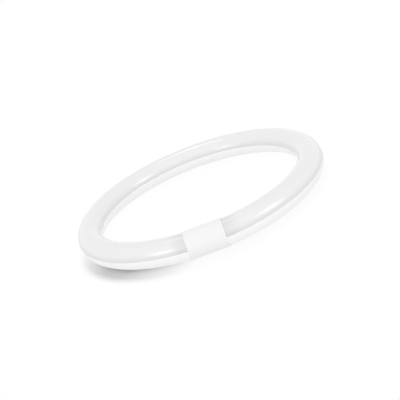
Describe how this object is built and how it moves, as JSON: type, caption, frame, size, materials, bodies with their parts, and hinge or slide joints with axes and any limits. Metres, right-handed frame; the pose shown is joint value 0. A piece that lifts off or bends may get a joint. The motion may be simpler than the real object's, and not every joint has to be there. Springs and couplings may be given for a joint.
{
  "type": "circular led tube lamp",
  "caption": "Ring-shaped LED lamp: a white half-round base, a milky diffuser over it, and a straight cap whose contact pins point to the ring's centre.",
  "frame": {"origin": "centre of the ring, on the surface that the lamp rests on", "axes": "+Z is the ring's axis, towards the light-giving side; the cap is at -Y and its pins point along +Y"},
  "size_m": [0.3, 0.2989, 0.0312],
  "materials": {
    "base_plastic": "satin, moulded white",
    "diffuser_plastic": "gloss, milky opal",
    "cap_plastic": "fine matt, moulded white",
    "pin_metal": "nickel plated",
    "board_aluminium": "white solder mask",
    "led_package": "phosphor window in a white frame",
    "link_plastic": "moulded",
    "screw_steel": "zinc plated",
    "driver_laminate": "green solder mask",
    "moulded_epoxy": "moulded",
    "capacitor_sleeve": "shrink sleeve over a can",
    "ferrite": "sintered",
    "resistor_coating": "flameproof coating",
    "film_capacitor_case": "dipped",
    "lead_red": "insulated wire",
    "lead_black": "insulated wire"
  },
  "bodies": {
    "root": {"base_channel": "base_plastic", "diffuser": "diffuser_plastic", "cap_outer_shell": "cap_plastic", "cap_inner_shell": "cap_plastic", "contact_pin_1": "pin_metal", "contact_pin_2": "pin_metal", "contact_pin_3": "pin_metal", "contact_pin_4": "pin_metal", "led_board_1": "board_aluminium", "led_board_2": "board_aluminium", "led_board_3": "board_aluminium", "led_board_4": "board_aluminium", "led_row_1": "led_package", "led_row_2": "led_package", "led_row_3": "led_package", "led_row_4": "led_package", "board_links": "link_plastic", "board_screws": "screw_steel", "driver_board": "driver_laminate", "bridge_rectifier": "moulded_epoxy", "driver_chip": "moulded_epoxy", "reservoir_capacitor": "capacitor_sleeve", "buck_inductor": "ferrite", "fuse_resistor": "resistor_coating", "output_capacitor": "film_capacitor_case", "led_lead_positive": "lead_red", "led_lead_negative": "lead_black"}
  },
  "joints": []
}
